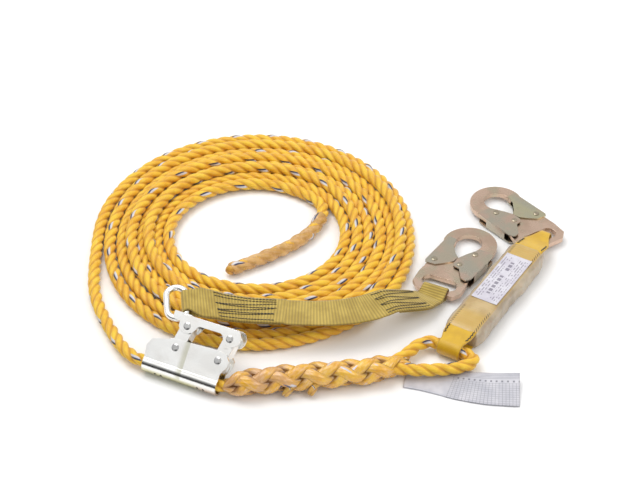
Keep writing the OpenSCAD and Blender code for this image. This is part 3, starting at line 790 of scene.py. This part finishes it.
def film_paint():
    """Cream film over webbing: khaki shows through on top as a strip with faint picks, brighter yellow
    near the ends where the loops run in, with their edge stitches as broken dark dashes; grey-cream
    sides; a glossy coat."""
    p = Paint("film_cream", roughness=0.34, coat_weight=0.45, coat_roughness=0.22, subsurface_weight=0.06)
    u, v = p.along()
    cloud = p.noise(p.spot(), 42.0, 4.0).clamped(0.3, 0.7)
    side = p.mix(cloud, (0.31, 0.235, 0.150, 1), (0.47, 0.375, 0.255, 1))
    top = p.mix(cloud, (0.42, 0.285, 0.11, 1), (0.56, 0.41, 0.20, 1))
    picks = v.wave(240) * 0.5 + 0.5
    top = p.mix(picks * 0.14, top, (0.50, 0.34, 0.09, 1))
    away = (v - 0.092).math("ABSOLUTE")
    top = p.mix(away.clamped(0.050, 0.066) * 0.65, top, (0.58, 0.36, 0.060, 1))
    across = u.math("ABSOLUTE")
    strip = 1.0 - across.clamped(0.0185, 0.0205)
    tint = p.mix(strip, side, top)
    ridge = across.clamped(0.0170, 0.0180) * (1.0 - across.clamped(0.0186, 0.0196))
    tint = p.mix(ridge * 0.30, tint, (0.36, 0.24, 0.10, 1))
    dash = (v + across * 1.4).wave(230).clamped(0.1, 0.4)
    dash = dash * across.clamped(0.0150, 0.0158) * (1.0 - across.clamped(0.0178, 0.0186))
    tint = p.mix(dash * away.clamped(0.048, 0.052) * 0.85, tint, (0.05, 0.035, 0.02, 1))
    p.feed(Base_Color=tint, Roughness=0.28 + 0.14 * cloud)
    wrinkle = p.noise(p.spot(), 130.0, 5.0, 0.6)
    p.bump(wrinkle + picks * strip * 0.18, 0.0012, 0.5)
    return p.material


def print_block(u, v, u0, u1, v0, v1, soft=0.02):
    """1 inside a soft-edged box of the UV map."""
    return (u.clamped(u0, u0 + soft) * (1.0 - u.clamped(u1 - soft, u1))
            * v.clamped(v0, v0 + soft) * (1.0 - v.clamped(v1 - soft, v1)))


def ruled(p, u, v, rows, words, gaps):
    """Rows of short grey marks: a comb across, broken along by a noise that changes from row to row."""
    comb = u.wave(rows).clamped(0.15, 0.5)
    row = (u * rows + 0.5).math("FLOOR")
    marks = p.noise(p.node("ShaderNodeCombineXYZ", {}, {0: row * 7.3, 1: v * words}), 1.0, 0.0)
    return comb * marks.clamped(gaps, gaps + 0.06)


def label_paint():
    """White film with rows of small marks and, in their middle, two broken lines of bold blocks."""
    p = Paint("label_white", roughness=0.38, coat_weight=0.3, coat_roughness=0.2)
    u, v = p.along()
    rows = ruled(p, u, v, 11.0, 26.0, 0.46)
    bold = print_block(u, v, 0.36, 0.52, 0.14, 0.56) + print_block(u, v, 0.36, 0.52, 0.64, 0.86)
    small = rows * (1.0 - u.clamped(0.30, 0.33) * (1.0 - u.clamped(0.54, 0.57)))
    inside = (u.clamped(0.05, 0.08) * (1.0 - u.clamped(0.90, 0.94))
              * v.clamped(0.04, 0.06) * (1.0 - v.clamped(0.93, 0.95)))
    ink = small * inside * 0.60 + bold * v.wave(13).clamped(-0.7, -0.4) * 0.70
    paper = p.mix(p.noise(p.spot(), 60.0).clamped(0.3, 0.7), (0.55, 0.52, 0.59, 1), (0.68, 0.66, 0.71, 1))
    p.feed(Base_Color=p.mix(ink, paper, (0.10, 0.085, 0.13, 1)))
    p.bump(p.noise(p.spot(), 160.0, 3.0), 0.0004, 0.5)
    return p.material


def label():
    """The label: a thin sheet on the cover's top that follows its height, with slightly lifted corners."""
    half, first, last = 17.5, 58, 156
    gx, gy = np.meshgrid(np.linspace(-half, half, 24), np.linspace(first, last, 60))
    from_middle = np.abs(gy - (first + last) / 2) / ((last - first) / 2)
    corner = (np.abs(gx) / half) ** 6 * from_middle ** 6
    z = cover_top(gy) + 0.35 + 0.5 * corner + 0.12 * np.sin(gy / 9.0) * (gx / half) ** 2
    grid = in_pack(np.stack([gx, gy, z], -1).reshape(-1, 3)).reshape(*gx.shape, 3)
    uv = np.stack([(gx + half) / (2 * half), (gy - first) / (last - first)], -1)
    made = grid_piece("pack_label_sheet", grid, uv)
    thick = made.modifiers.new("thickness", "SOLIDIFY")
    thick.thickness, thick.offset = 0.0003, -1
    made.data.materials.append(label_paint())
    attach(made, "pack")
    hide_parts("pack_label")


def pack_loops(thread):
    """The two bright loops of the pack's own webbing: one over the anchor hook's bar, one round the rope's
    eye, each with slanted stitches down its edges."""
    bright = webbing_paint("webbing_yellow", (0.60, 0.345, 0.001, 1), (0.70, 0.425, 0.002, 1),
                           (0.34, 0.18, 0.001, 1), ribs=600.0, gloss=0.42, grain=0.35)
    thick = 0.0022
    # Each place of a loop is its distance along the pack, its height and its width.
    top_run = [[168, 25.2, 38], [182, 24.6, 38], [190, 22.6, 38], [198, 20.2, 37], [206, 18.4, 34],
               [213, 17.4, 27], [222, 16.8, 19], [229, 16.2, 14.5], [233.4, 14.6, 13], [236, 11.5, 13],
               [236.6, 8, 13], [235.4, 4.6, 13], [232, 2.3, 13], [222, 1.8, 14], [202, 1.9, 18],
               [188, 3.2, 24], [176, 4.6, 26]]
    bend = [[-24 + 10.3 * math.cos(x), 12 + 10.3 * math.sin(x), 30]
            for x in np.radians([80, 100, 125, 150, 180, 210, 240, 268])]
    bottom_run = [[18, 24.8, 38], [4, 24.4, 38], [-3, 23.9, 38], [-10, 23.2, 37], [-16, 22.8, 34], *bend,
                  [-16, 2.0, 31], [-6, 2.6, 34], [6, 3.6, 34]]
    for name, run, node, sense, start, stop in (
        ("pack_loop_hook", top_run, "pack_hook_loop", -1, 0.0160, 0.0330),
        ("pack_loop_rope", bottom_run, "pack_rope_loop", 1, 0.0170, 0.0330),
    ):
        run = np.array(run)
        line = in_pack(np.c_[0 * run[:, 0], run[:, 0], run[:, 1]])
        smooth, _ = curve(np.c_[line, run[:, 2] / 1000], 0.0008)
        line, width = smooth[:, :3], smooth[:, 3]
        wide = np.broadcast_to(sense * (in_pack([[1, 0, 0]]) - in_pack([[0, 0, 0]])), line.shape)
        made = ribbon(name, line, wide, width, thick, rib=0.00003, pitch=0.0016)
        made.data.materials.append(bright)
        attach(made, "pack")
        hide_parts(node)
        lift = thick / 2 + 0.00005
        edges = [(0.86, 0.86), (-0.86, -0.86)]
        m, h, t = sewn_rows(line, wide, width, lift, start, stop, edges, pitch=0.0026)
        if t[:, 2].mean() < 0:
            m = m - 2 * lift * t
            t = -t
        slant = unit(h + 0.8 * np.cross(t, h) * np.where(np.arange(len(m)) % 2, 1, -1)[:, None])
        seam = stitches(name.replace("loop", "seam"), m, slant, t, length=0.0034, fat=0.0007)
        seam.data.materials.append(thread)
        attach(seam, "pack")
        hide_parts("pack_edge_stitching")


def tag_paint(length):
    """Pale card: a grid of thin lines on its free part, ruled lines along one edge, a row of dots beside them
    and a thin border, each the crests of a cosine of one of the card's two directions."""
    p = Paint("tag_white", roughness=0.5, coat_weight=0.15)
    u, v = p.along()
    v = v / length
    free = v.clamped(0.40, 0.41)
    lines = (v.wave(34).clamped(0.90, 0.985) + u.wave(15).clamped(0.90, 0.985)).math("MINIMUM", 1.0)
    body = lines * free * (1.0 - u.clamped(0.68, 0.69)) * 0.75
    rules = u.wave(22).clamped(0.2, 0.6) * u.clamped(0.80, 0.81) * (1.0 - u.clamped(0.955, 0.965))
    dots = v.wave(20).clamped(0.3, 0.6) * u.clamped(0.70, 0.715) * (1.0 - u.clamped(0.755, 0.77)) * free
    edge = (u - 0.5).math("ABSOLUTE").clamped(0.485, 0.49)
    ink = (body + rules * 0.55 * v.clamped(0.24, 0.26) + dots * 0.9 + edge * 0.3).math("MINIMUM", 1.0)
    paper = p.mix(p.noise(p.spot(), 40.0).clamped(0.3, 0.7), (0.47, 0.47, 0.52, 1), (0.62, 0.61, 0.65, 1))
    p.feed(Base_Color=p.mix(ink * 0.8, paper, (0.10, 0.10, 0.13, 1)))
    p.bump(p.noise(p.spot(), 220.0, 3.0), 0.0003, 0.4)
    return p.material


def tag():
    """The inspection tag: a stiff sheet through the stations, widening and lifting towards its free end."""
    # Middle, direction across and width
    stations = np.array([
        [102, -259, 0.9, 0, 1, 0, 40], [122, -263, 0.9, 0, 1, 0, 42], [145, -270, 1.6, 0, 1, 0.04, 44],
        [168, -278, 3.0, 0.02, 1, 0.09, 46], [200, -285, 4.4, 0.02, 1, 0.15, 48],
        [236, -288, 5.6, 0.02, 1, 0.2, 49]])
    stations[:, :3] = place(stations[:, :3])
    run, s = curve(stations, 0.0022)
    made = ribbon("tag_sheet", run[:, :3], unit(run[:, 3:6]), run[:, 6] / 1000, 0.0006, columns=20)
    made.data.materials.append(tag_paint(float(s[-1])))
    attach(made, "lifeline")
    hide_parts("inspection_tag")


# ---- metal ------------------------------------------------------------------------------

def plated_paint(name, first, second, third, gloss, scale=26.0, worn_share=0.25):
    """Plated steel: three tints flowing into each other by a warped noise, fine brushed scratches in
    roughness and bump, darker dull spots."""
    p = Paint(name, metallic=1.0, roughness=gloss)
    at = p.spot()
    warp = p.noise(at, scale, 3.0, 0.5)
    wide = warp.clamped(0.34, 0.56)
    high = p.noise(p.spot(turn=(0.4, 0.2, 0.9)), scale * 1.7, 3.0).clamped(0.44, 0.74)
    tint = p.mix(high, p.mix(wide, first, second), third)
    fine = p.noise(p.spot((1, 8, 3), (0, 0, 0.5)), 420.0, 2.0)
    worn = p.noise(at, 150.0, 3.0, 0.6).clamped(0.62, 0.78)
    tint = p.mix(worn * worn_share, tint, (0.16, 0.12, 0.09, 1))
    rough = gloss + 0.048 * (fine - 0.5) + 0.06 * worn + 0.10 * (warp - 0.5)
    p.feed(Base_Color=tint, Roughness=rough)
    p.bump(fine * 0.10 + p.noise(at, 45.0, 2.0) * 1.5, 0.00020, 0.25)
    return p.material


def channel_paint():
    """Bright zinc plate; on the trough's underside it turns olive and, at the eye end, rosy, by how far
    the point is round from the side plates; a faint olive band crosses the plates."""
    p = Paint("zinc_bright", metallic=1.0, roughness=0.16)
    middle = tuple(place(GRAB_AT))
    down = p.spot(middle=middle).dot((-0.3078, -0.6366, -0.7071))
    cloud = p.noise(p.spot(), 38.0, 3.0)
    olive = (down + 0.002 * (cloud - 0.5)).clamped(0.0062, 0.0105)
    tint = p.mix(cloud.clamped(0.3, 0.7), (0.88, 0.87, 0.84, 1), (0.95, 0.95, 0.93, 1))
    run = p.spot(middle=middle).dot((0.9003, -0.4352, 0.0))
    streak = run.clamped(-0.001, 0.006) * (1.0 - run.clamped(0.008, 0.0095)) * (1.0 - olive)
    tint = p.mix(streak * 0.55, tint, (0.50, 0.49, 0.33, 1))
    under = p.mix(run.clamped(0.020, 0.040), (0.52, 0.49, 0.22, 1), (0.60, 0.46, 0.33, 1))
    tint = p.mix(olive * 0.8, tint, under)
    fine = p.noise(p.spot((1, 7, 7), (0, 0, 0.45)), 300.0, 2.0)
    p.feed(Base_Color=tint, Roughness=0.12 + 0.12 * fine + 0.08 * olive)
    p.bump(fine * 0.3 + cloud, 0.0002, 0.25)
    return p.material


def dress(names, material, bevel=0.0):
    """Gives CAD nodes their material, and rounded edges where the real part has them."""
    for name in names:
        o = NODES[name]
        if o.material_slots:
            for slot in o.material_slots:
                slot.material = material
        else:
            o.data.materials.append(material)
        if bevel:
            weld = o.modifiers.new("join", "WELD")
            weld.merge_threshold = 0.00002
            flatten = o.modifiers.new("flat", "DECIMATE")
            flatten.decimate_type, flatten.angle_limit = "DISSOLVE", math.radians(1.0)
            edge = o.modifiers.new("edge", "BEVEL")
            edge.width, edge.segments, edge.use_clamp_overlap = bevel, 2, True
            edge.limit_method, edge.angle_limit = "ANGLE", math.radians(38)
            even = o.modifiers.new("even", "WEIGHTED_NORMAL")
            even.keep_sharp = False


def punch_marks():
    """Four shallow dark punch marks on the trough: flattened discs bowed to its round."""
    trough, bow, across = 12.0, 12.06, math.radians(30)
    r = np.linspace(0, 1.5, 5)[1:]
    a = 2 * np.pi * np.arange(14) / 14
    turn = across + np.r_[np.outer(r, np.sin(a)).ravel() / trough, 0]
    aside = np.r_[np.outer(r, np.cos(a)).ravel(), 0]
    hub = [[k, (k + 1) % 14, 56] for k in range(14)]
    faces = quads(4, 14, wrap=True)[:, ::-1].tolist() + hub
    flat_uv = np.zeros((sum(len(f) for f in faces), 2))
    made = []
    for x in (-25, -17, 32, 40):
        bowed = np.c_[x + aside, -bow * np.cos(turn), bow * np.sin(turn)]
        made.append(piece("punch_mark", place(turned(bowed, GRAB_AT, GRAB_YAW, GRAB_LEAN)), faces, flat_uv))
    marks = gather(made, "grab_punch_marks")
    p = Paint("punch_dark", base_color=(0.03, 0.03, 0.025, 1), metallic=0.6, roughness=0.6)
    grit = p.noise(p.spot(), 900.0).clamped(0.3, 0.7)
    p.feed(Base_Color=p.mix(grit, (0.02, 0.02, 0.018, 1), (0.09, 0.085, 0.06, 1)))
    marks.data.materials.append(p.material)
    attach(marks, "rope_grab")


def metal():
    """Materials and edges of the grab and of both snap hooks."""
    zinc = plated_paint("zinc_satin", (0.86, 0.85, 0.82, 1), (0.93, 0.93, 0.91, 1),
                        (0.88, 0.86, 0.82, 1), 0.18, scale=18.0, worn_share=0.10)
    rivet = plated_paint("zinc_rivet", (0.46, 0.46, 0.46, 1), (0.62, 0.62, 0.61, 1),
                         (0.55, 0.54, 0.52, 1), 0.22, scale=60.0)
    rosy = plated_paint("chromate_rose", (0.55, 0.40, 0.30, 1), (0.66, 0.48, 0.37, 1),
                        (0.52, 0.45, 0.33, 1), 0.27)
    green = plated_paint("chromate_green", (0.52, 0.49, 0.33, 1), (0.47, 0.45, 0.35, 1),
                         (0.55, 0.44, 0.33, 1), 0.26)
    grey = plated_paint("chromate_grey", (0.50, 0.44, 0.34, 1), (0.46, 0.43, 0.35, 1),
                        (0.58, 0.43, 0.34, 1), 0.26)
    pin = plated_paint("chromate_pin", (0.34, 0.29, 0.21, 1), (0.42, 0.36, 0.27, 1),
                       (0.30, 0.28, 0.20, 1), 0.38, scale=90.0)
    dark = plated_paint("spring_dark", (0.10, 0.09, 0.065, 1), (0.17, 0.15, 0.11, 1),
                        (0.12, 0.11, 0.08, 1), 0.4, scale=120.0)
    dress(["grab_channel"], channel_paint(), 0.0005)
    dress(["grab_arm"], zinc, 0.0005)
    dress(["grab_cam_lower", "grab_cam_upper"], zinc, 0.0008)
    dress(["grab_eye"], zinc)
    dress(["grab_body_rivets", "grab_arm_rivets"], rivet)
    for hook in ("lanyard_hook", "anchor_hook"):
        dress([hook + "_body"], rosy, 0.0011)
        dress([hook + "_gate"], green if hook == "anchor_hook" else grey, 0.0004)
        dress([hook + "_lever"], grey, 0.0004)
        dress([hook + "_gate_rivet", hook + "_lever_rivet", hook + "_lock_pin"], pin)
        dress([hook + "_gate_spring", hook + "_lever_spring"], dark, 0.0003)


studio()
lifeline()
black = thread_paint()
lanyard(black)
cover()
label()
pack_loops(black)
tag()
metal()
punch_marks()
